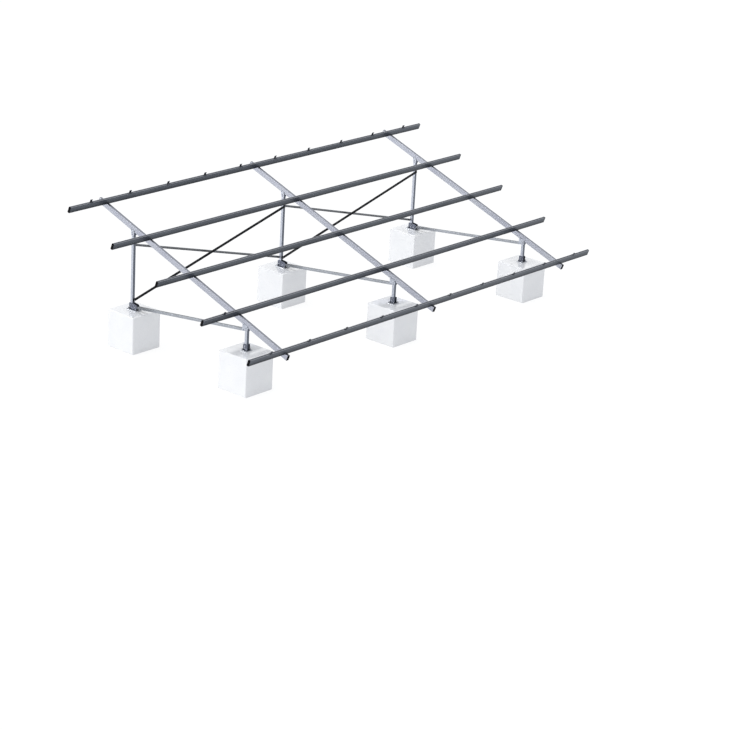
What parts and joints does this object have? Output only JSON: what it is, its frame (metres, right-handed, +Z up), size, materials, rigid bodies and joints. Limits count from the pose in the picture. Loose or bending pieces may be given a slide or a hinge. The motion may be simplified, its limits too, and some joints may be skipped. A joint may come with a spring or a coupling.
{
  "type": "solar panel ground mount",
  "caption": "Open tilted frame of parallel rails on sloping rafters, held by short front and tall rear posts with diagonal braces on square concrete piers.",
  "frame": {"origin": "on the ground under the centre of the frame's bounding box", "axes": "+X along the rails to the right as seen from the low side, +Y up the slope towards the tall posts, +Z up"},
  "size_m": [10.208, 5.0522, 2.8505],
  "materials": {
    "concrete": "smooth cast concrete, matt",
    "plate_steel": "hot-dip galvanised, dull",
    "bracket_steel": "dark slate zinc coating, satin",
    "post_steel": "galvanised, satin",
    "rafter_aluminium": "mill finish, satin",
    "rail_aluminium": "grey anodised, satin",
    "clamp_aluminium": "grey anodised, satin",
    "brace_steel": "galvanised, dull",
    "dark_brace": "black powder coating, satin",
    "end_cap": "black moulded plastic"
  },
  "bodies": {
    "root": {"pier_front_left": "concrete", "shoe_front_left": "bracket_steel", "post_front_left": "post_steel", "head_bracket_front_left": "post_steel", "pier_rear_left": "concrete", "shoe_rear_left": "bracket_steel", "post_rear_left": "post_steel", "head_bracket_rear_left": "post_steel", "rafter_left": "rafter_aluminium", "frame_brace_left": "brace_steel", "pier_front_middle": "concrete", "shoe_front_middle": "bracket_steel", "post_front_middle": "post_steel", "head_bracket_front_middle": "post_steel", "pier_rear_middle": "concrete", "shoe_rear_middle": "bracket_steel", "post_rear_middle": "post_steel", "head_bracket_rear_middle": "post_steel", "rafter_middle": "rafter_aluminium", "frame_brace_middle": "brace_steel", "pier_front_right": "concrete", "shoe_front_right": "bracket_steel", "post_front_right": "post_steel", "head_bracket_front_right": "post_steel", "pier_rear_right": "concrete", "shoe_rear_right": "bracket_steel", "post_rear_right": "post_steel", "head_bracket_rear_right": "post_steel", "rafter_right": "rafter_aluminium", "frame_brace_right": "brace_steel", "base_plates": "plate_steel", "rail_1": "rail_aluminium", "rail_2": "rail_aluminium", "rail_3": "rail_aluminium", "rail_4": "rail_aluminium", "rail_5": "rail_aluminium", "rail_cleats": "rail_aluminium", "module_clamps_lower": "clamp_aluminium", "module_clamps_upper": "clamp_aluminium", "rail_end_caps": "end_cap", "rafter_end_caps": "end_cap", "cross_brace_left_bay_rising": "dark_brace", "cross_brace_left_bay_falling": "brace_steel", "cross_brace_middle_bay_rising": "dark_brace", "cross_brace_middle_bay_falling": "brace_steel"}
  },
  "joints": []
}
